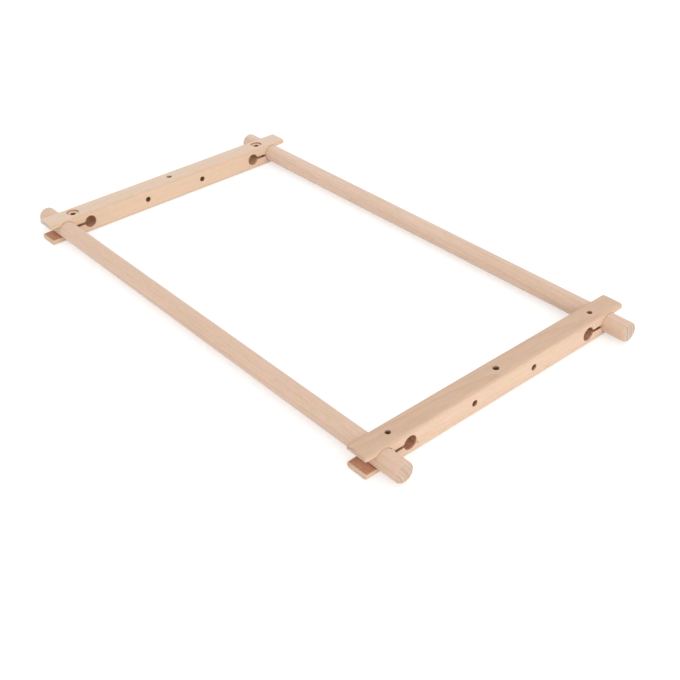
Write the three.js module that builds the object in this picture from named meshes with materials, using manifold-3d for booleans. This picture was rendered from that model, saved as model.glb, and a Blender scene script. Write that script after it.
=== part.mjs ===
import * as THREE from 'three';
import { mergeVertices } from 'three/addons/utils/BufferGeometryUtils.js';
import Module from 'manifold-3d';

// Cross-stitch frame: two round wooden rollers held in the split ends of two side bars.
// Millimetres. +X runs along the rollers, +Y along the side bars and +Z up.
// The origin is on the table, under the middle of the frame.

// Rollers
const ROLLER_LENGTH = 600;
const ROLLER_DIAMETER = 20;
const ROLLER_RIM_RADIUS = 2;
// How far a roller stands out of a side bar
const ROLLER_OVERHANG = 24.5;

// Side bars
const BAR_LENGTH = 330;
const BAR_WIDTH = 24;
const BAR_EDGE_RADIUS = 3;
const BAR_END_EASE = 1.2;

// Split ends. The seat is bored across the bar, and its mouth is narrower than the roller.
const SEAT_FROM_END = 20;
const SEAT_CLEARANCE = 0.3;
// Wood left above and below the seat
const SEAT_WALL = 2.2;
// How far each prong laps over the roller at the mouth
const MOUTH_LIP = 3.5;
const KERF_HEIGHT = 3.2;
const RELIEF_DIAMETER = 14;
const RELIEF_FROM_SEAT = 29.5;

// Clamp screw holes, which cross the kerf
const CLAMP_HOLE_DIAMETER = 5.5;
const CLAMP_HOLE_FROM_SEAT = 15;
const COUNTERBORE_DIAMETER = 14;
const COUNTERBORE_DEPTH = 2.2;

// Holes for a stand
const MIDDLE_HOLE_DIAMETER = 6.4;
const SIDE_HOLE_DIAMETER = 6.4;
const SIDE_HOLE_SPACING = 77;

// Facets
const ROLLER_FACETS = 72;
const HOLE_FACETS = 36;
const ARC_DIVISIONS = 14;
const EDGE_DIVISIONS = 3;

// How far a cutter stands out of the wood
const CUTTER_OVERRUN = 5;

const seatRadius = ROLLER_DIAMETER / 2 + SEAT_CLEARANCE;
const mouthHalf = seatRadius - MOUTH_LIP;
const kerfHalf = KERF_HEIGHT / 2;
const reliefRadius = RELIEF_DIAMETER / 2;
const barHeight = 2 * (seatRadius + SEAT_WALL);
const seatY = BAR_LENGTH / 2 - SEAT_FROM_END;
const reliefY = seatY - RELIEF_FROM_SEAT;
const clampHoleY = seatY - CLAMP_HOLE_FROM_SEAT;
const barX = ROLLER_LENGTH / 2 - ROLLER_OVERHANG - BAR_WIDTH / 2;

const X = new THREE.Vector3(1, 0, 0);
const Y = new THREE.Vector3(0, 1, 0);
const Z = new THREE.Vector3(0, 0, 1);

const wasm = await Module();
wasm.setup();

// A closed solid from a geometry whose doubled vertices are merged
function toSolid(geometry) {
  geometry.deleteAttribute('normal');
  geometry.deleteAttribute('uv');
  const merged = mergeVertices(geometry);
  const vertProperties = new Float32Array(merged.attributes.position.array);
  const triVerts = new Uint32Array(merged.index.array);
  return new wasm.Manifold(new wasm.Mesh({ numProp: 3, vertProperties, triVerts }));
}

// A geometry with flat facets from a solid
function toGeometry(solid) {
  const mesh = solid.getMesh();
  const indexed = new THREE.BufferGeometry();
  indexed.setAttribute('position', new THREE.BufferAttribute(mesh.vertProperties, 3));
  indexed.setIndex(new THREE.BufferAttribute(mesh.triVerts, 1));
  const geometry = indexed.toNonIndexed();
  geometry.computeVertexNormals();
  return geometry;
}

// A rectangle with round corners, centred on the origin
function roundedRectangle(width, height, radius) {
  const right = width / 2;
  const top = height / 2;
  const quarter = Math.PI / 2;
  const shape = new THREE.Shape();
  shape.moveTo(right, radius - top);
  shape.absarc(right - radius, top - radius, radius, 0, quarter);
  shape.absarc(radius - right, top - radius, radius, quarter, 2 * quarter);
  shape.absarc(radius - right, radius - top, radius, 2 * quarter, 3 * quarter);
  shape.absarc(right - radius, radius - top, radius, 3 * quarter, 4 * quarter);
  return shape;
}

// The bar before it is drilled: its rounded section carried along Y, with both ends eased
function barBlank() {
  const section = roundedRectangle(
    BAR_WIDTH - 2 * BAR_END_EASE,
    barHeight - 2 * BAR_END_EASE,
    BAR_EDGE_RADIUS - BAR_END_EASE,
  );
  const straight = BAR_LENGTH - 2 * BAR_END_EASE;
  const geometry = new THREE.ExtrudeGeometry(section, {
    depth: straight,
    curveSegments: EDGE_DIVISIONS,
    bevelSegments: EDGE_DIVISIONS,
    bevelSize: BAR_END_EASE,
    bevelThickness: BAR_END_EASE,
  });
  geometry.translate(0, 0, -straight / 2);
  geometry.rotateX(-Math.PI / 2);
  return toSolid(geometry);
}

// Side view of what is cut from one end: open mouth, round seat, kerf and relief hole in one outline
function splitEndOutline() {
  const mouthAngle = Math.asin(mouthHalf / seatRadius);
  const kerfSeatAngle = Math.asin(kerfHalf / seatRadius);
  const kerfReliefAngle = Math.asin(kerfHalf / reliefRadius);
  const past = BAR_LENGTH / 2 + CUTTER_OVERRUN;
  const outline = new THREE.Shape();
  outline.moveTo(past, -mouthHalf);
  outline.lineTo(past, mouthHalf);
  outline.absarc(seatY, 0, seatRadius, mouthAngle, Math.PI - kerfSeatAngle);
  outline.absarc(reliefY, 0, reliefRadius, kerfReliefAngle, 2 * Math.PI - kerfReliefAngle);
  outline.absarc(seatY, 0, seatRadius, Math.PI + kerfSeatAngle, 2 * Math.PI - mouthAngle);
  return outline;
}

// The outline carried across the bar: its x becomes Y, its y becomes Z and its depth runs along X
function splitEndCutter() {
  const depth = BAR_WIDTH + 2 * CUTTER_OVERRUN;
  const geometry = new THREE.ExtrudeGeometry(splitEndOutline(), {
    depth,
    curveSegments: ARC_DIVISIONS,
    bevelEnabled: false,
  });
  geometry.translate(0, 0, -depth / 2);
  geometry.applyMatrix4(new THREE.Matrix4().makeBasis(Y, Z, X));
  return toSolid(geometry);
}

// A drill of a given diameter and length, centred on a point of the bar, along one axis
function drill(diameter, length, axis, centre) {
  const geometry = new THREE.CylinderGeometry(diameter / 2, diameter / 2, length, HOLE_FACETS);
  const turn = new THREE.Quaternion().setFromUnitVectors(Y, axis);
  geometry.applyQuaternion(turn);
  geometry.translate(centre.x, centre.y, centre.z);
  return toSolid(geometry);
}

// A through hole down the bar's height
function uprightHole(diameter, y) {
  return drill(diameter, barHeight + 2 * CUTTER_OVERRUN, Z, new THREE.Vector3(0, y, 0));
}

// A through hole across the bar's width
function crossHole(diameter, y) {
  return drill(diameter, BAR_WIDTH + 2 * CUTTER_OVERRUN, X, new THREE.Vector3(0, y, 0));
}

// The shallow round recess for the clamp screw's head, in the bar's marked face
function counterbore(y) {
  const length = COUNTERBORE_DEPTH + CUTTER_OVERRUN;
  const middle = barHeight / 2 - COUNTERBORE_DEPTH + length / 2;
  return drill(COUNTERBORE_DIAMETER, length, Z, new THREE.Vector3(0, y, middle));
}

// One side bar, centred on the origin, with its counterbores on +Z
function barGeometry() {
  let bar = barBlank();
  const cutter = splitEndCutter();
  for (const end of [1, -1]) {
    bar = bar.subtract(end > 0 ? cutter : cutter.rotate([0, 0, 180]));
    bar = bar.subtract(uprightHole(CLAMP_HOLE_DIAMETER, end * clampHoleY));
    bar = bar.subtract(counterbore(end * clampHoleY));
    bar = bar.subtract(crossHole(SIDE_HOLE_DIAMETER, end * SIDE_HOLE_SPACING / 2));
  }
  bar = bar.subtract(uprightHole(MIDDLE_HOLE_DIAMETER, 0));
  return toGeometry(bar);
}

// A roller along X, centred on the origin: a straight round bar with rounded rims
function rollerGeometry() {
  const radius = ROLLER_DIAMETER / 2;
  const half = ROLLER_LENGTH / 2;
  const inner = radius - ROLLER_RIM_RADIUS;
  const profile = new THREE.Path();
  profile.moveTo(0, -half);
  profile.lineTo(inner, -half);
  profile.absarc(inner, ROLLER_RIM_RADIUS - half, ROLLER_RIM_RADIUS, -Math.PI / 2, 0);
  profile.absarc(inner, half - ROLLER_RIM_RADIUS, ROLLER_RIM_RADIUS, 0, Math.PI / 2);
  profile.lineTo(0, half);
  const geometry = new THREE.LatheGeometry(profile.getPoints(EDGE_DIVISIONS), ROLLER_FACETS);
  geometry.rotateZ(-Math.PI / 2);
  return geometry;
}

// Unfinished beech in a colour of its own
function beech(color) {
  return new THREE.MeshStandardMaterial({ color, roughness: 0.62, metalness: 0 });
}

function piece(name, geometry, color, x, y) {
  const mesh = new THREE.Mesh(geometry, beech(color));
  mesh.name = name;
  mesh.position.set(x, y, barHeight / 2);
  return mesh;
}

// The frame: the right bar is the same piece as the left one, turned over about its length
function crossStitchFrame() {
  const frame = new THREE.Group();
  const bar = barGeometry();
  const roller = rollerGeometry();
  const leftBar = piece('left_side_bar', bar, 0xe6c7ae, -barX, 0);
  const rightBar = piece('right_side_bar', bar.clone(), 0xe9cbb0, barX, 0);
  rightBar.rotation.y = Math.PI;
  const frontRoller = piece('front_roller', roller, 0xdebea5, 0, -seatY);
  const backRoller = piece('back_roller', roller.clone(), 0xdfc0a7, 0, seatY);
  frame.add(leftBar, rightBar, frontRoller, backRoller);
  return frame;
}

const frame = crossStitchFrame();

export default frame;
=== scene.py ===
"""Looks of a cross-stitch frame: two round rollers in the split ends of two side bars, all in bare beech.

Units are metres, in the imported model's frame: +X along the rollers, +Y along the side bars, +Z up, with
the origin on the table under the middle. Wood patterns are worked out in millimetres.
"""
import logging
import math
from dataclasses import dataclass
from enum import Enum

import bpy
import numpy as np
from mathutils import Euler, Matrix, Vector


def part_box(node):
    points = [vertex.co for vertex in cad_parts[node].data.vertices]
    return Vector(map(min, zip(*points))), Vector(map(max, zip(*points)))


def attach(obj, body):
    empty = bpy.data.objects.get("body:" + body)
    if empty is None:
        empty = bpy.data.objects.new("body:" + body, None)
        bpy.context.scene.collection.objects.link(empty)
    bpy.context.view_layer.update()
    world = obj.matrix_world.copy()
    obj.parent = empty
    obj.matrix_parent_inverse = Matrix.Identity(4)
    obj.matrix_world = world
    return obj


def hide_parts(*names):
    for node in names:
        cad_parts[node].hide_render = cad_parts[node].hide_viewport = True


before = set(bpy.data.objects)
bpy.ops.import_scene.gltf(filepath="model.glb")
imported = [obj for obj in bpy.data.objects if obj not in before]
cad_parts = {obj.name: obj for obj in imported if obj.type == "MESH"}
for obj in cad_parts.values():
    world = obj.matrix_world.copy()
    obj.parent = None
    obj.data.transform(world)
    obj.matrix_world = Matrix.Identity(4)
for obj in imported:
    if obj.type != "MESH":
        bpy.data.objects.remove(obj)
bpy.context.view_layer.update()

log = logging.getLogger("cross_stitch_frame")

MM = 0.001
ACROSS_BARS = Vector((1, 0, 0))
ALONG_BARS = Vector((0, 1, 0))
UPRIGHT = Vector((0, 0, 1))

Colour = tuple[float, float, float]
Span = tuple[float, float]
Socket = bpy.types.NodeSocket

WHITE: Colour = (1.0, 1.0, 1.0)


def screen_colour(red: int, green: int, blue: int) -> Colour:
    """Turn a colour as a screen shows it into the linear values that shaders take.

    Up to a knee each value is divided by a slope. Over it an offset is added, the sum is scaled so that
    white stays 1, and the result is raised to a power.

    Args:
        red: Red from 0 to 255.
        green: Green from 0 to 255.
        blue: Blue from 0 to 255.

    Returns:
        The three linear values.
    """
    full, knee, slope, offset, power = 255, 0.04045, 12.92, 0.055, 2.4
    return tuple(
        value / slope if value <= knee else ((value + offset) / (1 + offset)) ** power
        for value in (red / full, green / full, blue / full)
    )


class Facing(Enum):
    """Which way the counterbored face of a side bar looks, as a turn about the bar's length."""

    UP = 0.0
    DOWN = math.pi


class Grain(Enum):
    """The axis of the frame that a piece's fibres follow, as a turn about Z from the X axis."""

    ALONG_ROLLERS = 0.0
    ALONG_BARS = math.pi / 2


class Surface(Enum):
    """How the wood of a face was left, as 0 where it was planed or sanded and 1 in a bore or saw cut."""

    PLANED = 0
    BORED = 1


# Shapes


def soft_noise(position: np.ndarray, waves: int, seed: int) -> np.ndarray:
    """A slow random wave: sines of whole-numbered orders and random phase, each lower than the one before.

    Args:
        position: Angles in radians. The wave repeats after a full turn.
        waves: How many sines are added.
        seed: Fixes the phases.

    Returns:
        Values from -1 to 1, in the shape of position.
    """
    orders = np.arange(1, waves + 1)
    phases = np.random.default_rng(seed).uniform(0, 2 * np.pi, waves)
    sines = np.sin(position[..., None] * orders + phases) / orders
    return sines.sum(axis=-1) / (1 / orders).sum()


def soft_step(value: np.ndarray) -> np.ndarray:
    """Rise smoothly from 0 to 1 as the value does: three times its square less twice its cube."""
    kept = np.clip(value, 0, 1)
    return kept ** 2 * (3 - 2 * kept)


def rim_stations(half_length: float, rim: np.ndarray, overrun: float) -> tuple[np.ndarray, np.ndarray]:
    """Where the rings of a cutter stand, and how far each one spreads to soften the wood's rim.

    Inside the wood the spread is nothing, and rings at three depths carry the browning's rise. At each face
    it follows a quarter round of radius rim, stopped a little short of lying in the face, and goes on along
    its tangent until it is clear of the wood.

    Args:
        half_length: Half the thickness of the wood that is cut through.
        rim: Radius of the softened rim at each point round the cutter.
        overrun: How far the cutter stands out of the wood.

    Returns:
        Positions along the cut and spreads, each as rings by points, from one end to the other.
    """
    steps = 5
    last = math.radians(75)
    clear = 0.15 * MM
    wall_depths = np.array([5.0, 2.4, 0.8]) * MM
    turn = np.linspace(0, last, steps + 1)[:, None]
    wall = half_length - rim - wall_depths[:, None]
    reach = half_length - rim + rim * np.sin(turn)
    spread = rim * (1 - np.cos(turn))
    tangent_reach = reach[-1:] + clear * math.cos(last)
    tangent_spread = spread[-1:] + clear * math.sin(last)
    outside = np.full_like(tangent_reach, half_length + overrun)
    reach = np.concatenate([wall, reach, tangent_reach, outside])
    spread = np.concatenate([0 * wall, spread, tangent_spread, tangent_spread])
    return np.concatenate([-reach[::-1], reach]), np.concatenate([spread[::-1], spread])


def band_surfaces(spread: np.ndarray) -> np.ndarray:
    """Surface values between each ring of a cutter and the next: sanded where either spreads, else bored."""
    softened = np.maximum(spread[:-1], spread[1:]) > 0
    return np.where(softened, Surface.PLANED.value, Surface.BORED.value)


class CutOutline:
    """The side view of a cut that is alike above and below, whose points know how a softened rim moves them.

    A point is its centre plus its radius times the cosine and sine of its angle. A spread swells the radius
    where the centre lies in the cut, shrinks it where the centre lies in the wood, and lifts straight walls.
    """

    def __init__(self) -> None:
        """Start with no points."""
        self.runs: list[np.ndarray] = []

    def add(self, *columns: np.ndarray | float) -> None:
        """Add points by the columns centre Y and Z, radius, angle, swell, lift and radius of the rim."""
        self.runs.append(np.stack(np.broadcast_arrays(*columns), axis=-1))

    def add_arc(
        self,
        centre: tuple[float, float],
        radius: float,
        turn: Span,
        points: int,
        swell: float,
        rim: float,
        lift: float = 0.0,
        joined: bool = False,
    ) -> None:
        """Add points on an arc.

        Args:
            centre: Its centre in Y and Z.
            radius: Its radius.
            turn: Its first and last angle in radians.
            points: How many points it has.
            swell: How much of the spread goes to its radius.
            rim: Radius of the softened rim along it.
            lift: How much of the spread lifts it.
            joined: Whether it starts at the last point of the arc before it, which isn't added again.
        """
        angle = np.linspace(*turn, points)[int(joined) :]
        self.add(*centre, radius, angle, swell, lift, rim)

    def add_wall(self, along: np.ndarray, height: float, rim: np.ndarray | float) -> None:
        """Add points of a level wall, which a spread lifts, by their places in Y, their Z and their rims."""
        self.add(along, height, 0.0, 0.0, 0.0, 1.0, rim)

    def rims(self) -> np.ndarray:
        """Radius of the softened rim at each point of the upper half."""
        return np.concatenate(self.runs)[:, -1]

    def mirrored(self, values: np.ndarray, sign: float = 1.0) -> np.ndarray:
        """Add the lower half: the upper values in turned order, without the one that both halves share."""
        return np.concatenate([values, sign * values[:, -2::-1]], axis=1)

    def points(self, spread: np.ndarray) -> np.ndarray:
        """Place both halves' points.

        Args:
            spread: How far the outline moves into the wood, as rings by points of the upper half.

        Returns:
            Rings by points by the two coordinates Y and Z.
        """
        centre_y, centre_z, radius, angle, swell, lift, _ = np.concatenate(self.runs).T
        reach = radius + swell * spread
        along = centre_y + reach * np.cos(angle)
        height = centre_z + reach * np.sin(angle) + lift * spread
        return np.stack([self.mirrored(along), self.mirrored(height, -1.0)], axis=-1)


def tube_object(name: str, rings: np.ndarray, surfaces: np.ndarray | int) -> bpy.types.Object:
    """A closed tube through rings of points, with a flat cap on its first and last ring.

    Args:
        name: Name of the new object.
        rings: Rings by points by three coordinates. Points turn right-handed about the way along the tube.
        surfaces: The Surface value of each face, as bands by points or in any shape that spreads over them.

    Returns:
        The new object, linked to the scene.
    """
    rows, columns = rings.shape[:2]
    row, column = np.meshgrid(np.arange(rows - 1), np.arange(columns), indexing="ij")
    first = row * columns + column
    second = row * columns + (column + 1) % columns
    quads = np.stack([first, second, second + columns, first + columns], axis=-1).reshape(-1, 4)
    first_cap = np.arange(columns)[::-1]
    last_cap = np.arange(columns) + (rows - 1) * columns
    faces = quads.tolist() + [first_cap.tolist(), last_cap.tolist()]
    mesh = bpy.data.meshes.new(name)
    mesh.from_pydata(rings.reshape(-1, 3).tolist(), [], faces)
    slots = np.full(len(faces), Surface.PLANED.value, np.int32)
    slots[: len(quads)] = np.broadcast_to(surfaces, (rows - 1, columns)).ravel()
    mesh.polygons.foreach_set("material_index", slots)
    mesh.update()
    item = bpy.data.objects.new(name, mesh)
    bpy.context.scene.collection.objects.link(item)
    return item


def revolved_cutter(
    name: str,
    centre: Vector,
    axis: Vector,
    along: np.ndarray,
    radius: np.ndarray,
    spread: np.ndarray,
    surfaces: np.ndarray,
    seed: int,
) -> bpy.types.Object:
    """A round cutter: its radius and spread along an axis, turned about that axis.

    The spread of each rim swells and shrinks round the hole by a soft noise, as a hand-eased rim does.

    Args:
        name: Name of the cutter.
        centre: Middle of the cutter.
        axis: Unit vector along the cutter.
        along: Positions along the axis from the centre, as a column.
        radius: Radius of the drill at each position, as a column.
        spread: How far the softened rim adds to the radius at each position, as a column.
        surfaces: How the wood is left between each position and the next, as a column.
        seed: Fixes the unevenness of the rims.

    Returns:
        The cutter.
    """
    facets = 72
    waves = 5
    unevenness = 0.3
    angle = np.linspace(0, 2 * np.pi, facets, endpoint=False)
    uneven = 1 + unevenness * soft_noise(angle + np.sign(along), waves, seed)
    reach = radius + spread * uneven
    first = np.array(axis.orthogonal().normalized())
    second = np.cross(np.array(axis), first)
    rings = (
        np.array(centre)
        + along[..., None] * np.array(axis)
        + (reach * np.cos(angle))[..., None] * first
        + (reach * np.sin(angle))[..., None] * second
    )
    return tube_object(name, rings, surfaces)


def apply_modifiers(item: bpy.types.Object) -> None:
    """Replace an object's mesh by what its modifiers make of it, and drop the modifiers.

    Args:
        item: The object.
    """
    graph = bpy.context.evaluated_depsgraph_get()
    mesh = bpy.data.meshes.new_from_object(item.evaluated_get(graph))
    item.modifiers.clear()
    item.data = mesh


def cut(item: bpy.types.Object, cutters: list[bpy.types.Object]) -> None:
    """Take the cutters out of an object, one after another, and delete them.

    Args:
        item: The object, whose mesh is replaced by the cut one.
        cutters: Closed objects. Their faces bring their own material slot numbers.
    """
    for cutter in cutters:
        modifier = item.modifiers.new(cutter.name, "BOOLEAN")
        modifier.operation = "DIFFERENCE"
        modifier.solver = "EXACT"
        modifier.object = cutter
    apply_modifiers(item)
    for cutter in cutters:
        bpy.data.objects.remove(cutter)


def smooth(item: bpy.types.Object, crease: float) -> None:
    """Shade a mesh smooth, keep its creases, and let large faces set the normals.

    Args:
        item: The object.
        crease: Angle in radians above which an edge stays sharp.
    """
    mesh = item.data
    mesh.polygons.foreach_set("use_smooth", np.ones(len(mesh.polygons), bool))
    mesh.set_sharp_from_angle(angle=crease)
    item.modifiers.new("weighted_normals", "WEIGHTED_NORMAL").keep_sharp = True
    apply_modifiers(item)


def read(items: bpy.types.bpy_prop_collection, key: str, kind: type, width: int = 1) -> np.ndarray:
    """Read one value of each vertex, face or face corner of a mesh.

    Args:
        items: The vertices, faces or corners.
        key: Name of the value.
        kind: The type of its numbers.
        width: How many numbers each value has.

    Returns:
        All the numbers in one row.
    """
    numbers = np.empty(len(items) * width, kind)
    items.foreach_get(key, numbers)
    return numbers


def store(mesh: bpy.types.Mesh, name: str, domain: str, values: np.ndarray) -> None:
    """Store one number for each vertex, in the domain POINT, or face corner, in CORNER, under a name."""
    attribute = mesh.attributes.new(name, "FLOAT", domain)
    attribute.data.foreach_set("value", values.astype(np.float32))


def corner_normals(mesh: bpy.types.Mesh) -> np.ndarray:
    """The shading normals of a mesh's face corners, as corners by three parts."""
    return read(mesh.corner_normals, "vector", np.float32, 3).reshape(-1, 3)


def mark_end_grain(mesh: bpy.types.Mesh, fibres: Vector) -> None:
    """Store as end_grain how squarely each corner looks along the fibres: the cosine between them."""
    cosine = np.abs(corner_normals(mesh) @ np.array(fibres, np.float32))
    store(mesh, "end_grain", "CORNER", cosine)


def paint_edge_shade(mesh: bpy.types.Mesh) -> None:
    """Store as eased, for their painted shade, where the rounded edges along Y are: twice a normal's X part
    times its Z part.
    """
    across, _, up = np.abs(corner_normals(mesh)).T
    store(mesh, "eased", "CORNER", 2 * across * up)


def cut_share(mesh: bpy.types.Mesh) -> np.ndarray:
    """Whether each vertex lies in a bore or saw cut: twice the mean Surface value of its faces, at most 1.

    Args:
        mesh: The mesh. Its faces end up in the first material slot.

    Returns:
        One number for each vertex.
    """
    surfaces = read(mesh.polygons, "material_index", np.int32)
    sizes = read(mesh.polygons, "loop_total", np.int32)
    corners = read(mesh.loops, "vertex_index", np.int32)
    total = np.bincount(corners, np.repeat(surfaces, sizes), len(mesh.vertices))
    count = np.bincount(corners, minlength=len(mesh.vertices))
    mesh.polygons.foreach_set("material_index", 0 * surfaces)
    return np.clip(2 * total / count, 0, 1)


# Finishes


@dataclass(frozen=True)
class Pattern:
    """A noise in the wood.

    Attributes:
        along: Waves per millimetre along the fibres.
        across: Waves per millimetre across them.
        octaves: Octaves of finer noise.
        seed: Its own place in the noise, so that no two patterns match.
    """

    along: float
    across: float
    octaves: float
    seed: float


WAVER = Pattern(along=0.006, across=0.035, octaves=2, seed=0)
FIBRE = Pattern(along=0.03, across=1.7, octaves=3, seed=5)
PORES = Pattern(along=0.30, across=5.0, octaves=1, seed=9)
TONE = Pattern(along=0.008, across=0.06, octaves=2, seed=13)
STREAKS = Pattern(along=0.09, across=0.34, octaves=3, seed=17)
BROWNING = Pattern(along=0.30, across=0.30, octaves=3, seed=21)
TORN_GRAIN = Pattern(along=1.6, across=1.6, octaves=4, seed=27)


class NodeGraph:
    """The shader nodes of a material or the world, built by short calls that return output sockets."""

    def __init__(self, owner: bpy.types.Material | bpy.types.World) -> None:
        """Empty the owner's node tree.

        Args:
            owner: The material or world.
        """
        owner.use_nodes = True
        self.tree = owner.node_tree
        self.tree.nodes.clear()

    def node(
        self,
        kind: str,
        inputs: dict[str | int, object] | None = None,
        **settings: object,
    ) -> bpy.types.Node:
        """Add a node.

        Args:
            kind: The node's type without its ShaderNode prefix.
            inputs: What its inputs get, by name or number, each an output socket or a plain value.
            settings: Attributes of the node.

        Returns:
            The node.
        """
        made = self.tree.nodes.new("ShaderNode" + kind)
        for key, value in settings.items():
            setattr(made, key, value)
        for key, value in (inputs or {}).items():
            if isinstance(value, Socket):
                self.tree.links.new(value, made.inputs[key])
            else:
                made.inputs[key].default_value = value
        return made

    def math(self, operation: str, *values: Socket | float) -> Socket:
        """The result of a Math node on some values."""
        return self.node("Math", dict(enumerate(values)), operation=operation).outputs[0]

    def vector(self, operation: str, *values: object) -> Socket:
        """The result of a Vector Math node on some values: a vector, or a number where it gives one."""
        made = self.node("VectorMath", dict(enumerate(values)), operation=operation)
        return made.outputs["Value" if operation in ("LENGTH", "DOT_PRODUCT") else "Vector"]

    def less(self, pattern: Socket, depth: float) -> Socket:
        """1 less a share of a pattern."""
        return self.math("MULTIPLY_ADD", pattern, -depth, 1.0)

    def attribute(self, name: str) -> Socket:
        """The number that the mesh stores under a name, or 0 where it stores none."""
        return self.node("Attribute", attribute_name=name).outputs["Fac"]

    def place(self) -> Socket:
        """The place in the frame, as the object's own coordinates."""
        return self.node("TexCoord").outputs["Object"]

    def noise(self, place: Socket, pattern: Pattern, seed: float, output: str = "Fac") -> Socket:
        """A noise, read at the place times the pattern's scale, moved by both seeds along a fixed heading.

        Args:
            place: Place in the log, in millimetres along the fibres and across them.
            pattern: The noise's scale, detail and own seed.
            seed: The piece's own seed.
            output: Fac for a number or Color for three.

        Returns:
            The noise.
        """
        heading = Vector((1.0, 0.7, 1.3))
        scaled = self.vector("MULTIPLY", place, (pattern.along, pattern.across, pattern.across))
        moved = self.vector("ADD", scaled, heading * (seed + pattern.seed))
        inputs = {"Vector": moved, "Scale": 1.0, "Detail": pattern.octaves}
        return self.node("TexNoise", inputs).outputs[output]

    def line_noise(self, value: Socket) -> Socket:
        """A noise that depends on one number alone, with two octaves of finer noise."""
        inputs = {"W": value, "Scale": 1.0, "Detail": 2.0}
        return self.node("TexNoise", inputs, noise_dimensions="1D").outputs["Fac"]

    def ramp(self, value: Socket, span: Span, results: Span = (0.0, 1.0)) -> Socket:
        """A smooth step from the first result to the second, while the value passes through the span."""
        inputs = dict(enumerate((value, *span, *results)))
        return self.node("MapRange", inputs, interpolation_type="SMOOTHSTEP").outputs[0]

    def blend(self, factor: Socket | float, first: object, second: object, kind: str = "MIX") -> Socket:
        """A Mix node for colours.

        Args:
            factor: Share of the second colour.
            first: First colour.
            second: Second colour.
            kind: Blend mode.

        Returns:
            The mixed colour.
        """
        first_input, second_input, output = 6, 7, 2
        colours = [colour if isinstance(colour, Socket) else (*colour, 1.0) for colour in (first, second)]
        inputs = {0: factor, first_input: colours[0], second_input: colours[1]}
        mix = self.node("Mix", inputs, data_type="RGBA", blend_type=kind, clamp_factor=True)
        return mix.outputs[output]

    def tint(self, colour: Socket, by: object) -> Socket:
        """A colour times another."""
        return self.blend(1.0, colour, by, "MULTIPLY")

    def seen(self) -> Socket:
        """Tell what is looked at from what is only lit by.

        Returns:
            1 for rays from the camera and for those in gloss and glass, and 0 for rays that carry light.
        """
        path = self.node("LightPath")
        rays = ("Camera", "Glossy", "Transmission")
        camera, gloss, glass = (path.outputs[f"Is {ray} Ray"] for ray in rays)
        return self.math("MAXIMUM", self.math("MAXIMUM", camera, gloss), glass)

    def shader(self, kind: str, colour: Colour, **inputs: float) -> Socket:
        """A plain shader of one colour, with any other inputs by name."""
        return self.node(kind, {"Color": (*colour, 1.0), **inputs}).outputs[0]

    def finish(self, kind: str, surface: Socket) -> None:
        """Give a shader to the output node of a kind."""
        self.node(kind, {"Surface": surface})


@dataclass(frozen=True)
class LogCut:
    """Where in its log a piece was sawn. The log's own axes are pith, radius and tangent.

    Attributes:
        grain: The frame axis that the fibres follow.
        roll: Turn about the fibres in degrees, which picks the side that faces the bark.
        dive: Slope of the fibres up or down in degrees.
        swing: Slope of the fibres sideways in degrees.
        depth: Millimetres from the pith to the middle of the piece.
        seed: Fixes the piece's own grain.
        sap_side: The direction in which the piece turns from heartwood to sapwood, or nothing if it doesn't.
    """

    grain: Grain
    roll: float
    dive: float
    swing: float
    depth: float
    seed: float
    sap_side: tuple[float, float, float] = (0.0, 0.0, 0.0)

    def mapping(self, graph: NodeGraph, centre: Vector) -> Socket:
        """Turn object coordinates into millimetres along the pith, radius and tangent.

        Args:
            graph: The material's nodes.
            centre: Middle of the piece.

        Returns:
            The place in the log.
        """
        heading = self.grain.value + math.radians(self.swing)
        turn = Euler((math.radians(self.roll), math.radians(self.dive), heading))
        pith = centre - turn.to_matrix() @ Vector((0, self.depth * MM, 0))
        inputs = {"Vector": graph.place(), "Location": pith, "Rotation": turn, "Scale": (MM, MM, MM)}
        return graph.node("Mapping", inputs, vector_type="TEXTURE").outputs["Vector"]

    def sapwood(self, graph: NodeGraph, centre: Vector) -> Socket:
        """Millimetres from the piece's middle towards its sapwood, below nothing on the heart's side."""
        from_middle = graph.vector("SUBTRACT", graph.place(), centre)
        return graph.vector("DOT_PRODUCT", from_middle, Vector(self.sap_side) / MM)


@dataclass(frozen=True)
class Wood:
    """The patterns of one piece of wood, as output sockets of its material's nodes.

    Attributes:
        place: Place in the log in millimetres.
        seed: The piece's own seed.
        late: How late in the year's growth the wood is, from 0 to 1.
        year: The year's own brightness, near 1.
        fleck: 1 inside a ray fleck.
        fibre: Fine streaks of the fibres, from 0 to 1.
        streak: Broad streaks, from 0 where the wood is rosy to 1 where it is golden.
        pore: 1 inside a pore.
        sapwood: From 0 in heartwood to 1 in sapwood.
        end: 1 on end grain.
        eased: 1 in the middle of a rounded long edge, which painted shade darkens.
    """

    place: Socket
    seed: float
    late: Socket
    year: Socket
    fleck: Socket
    fibre: Socket
    streak: Socket
    pore: Socket
    sapwood: Socket
    end: Socket
    eased: Socket


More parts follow.
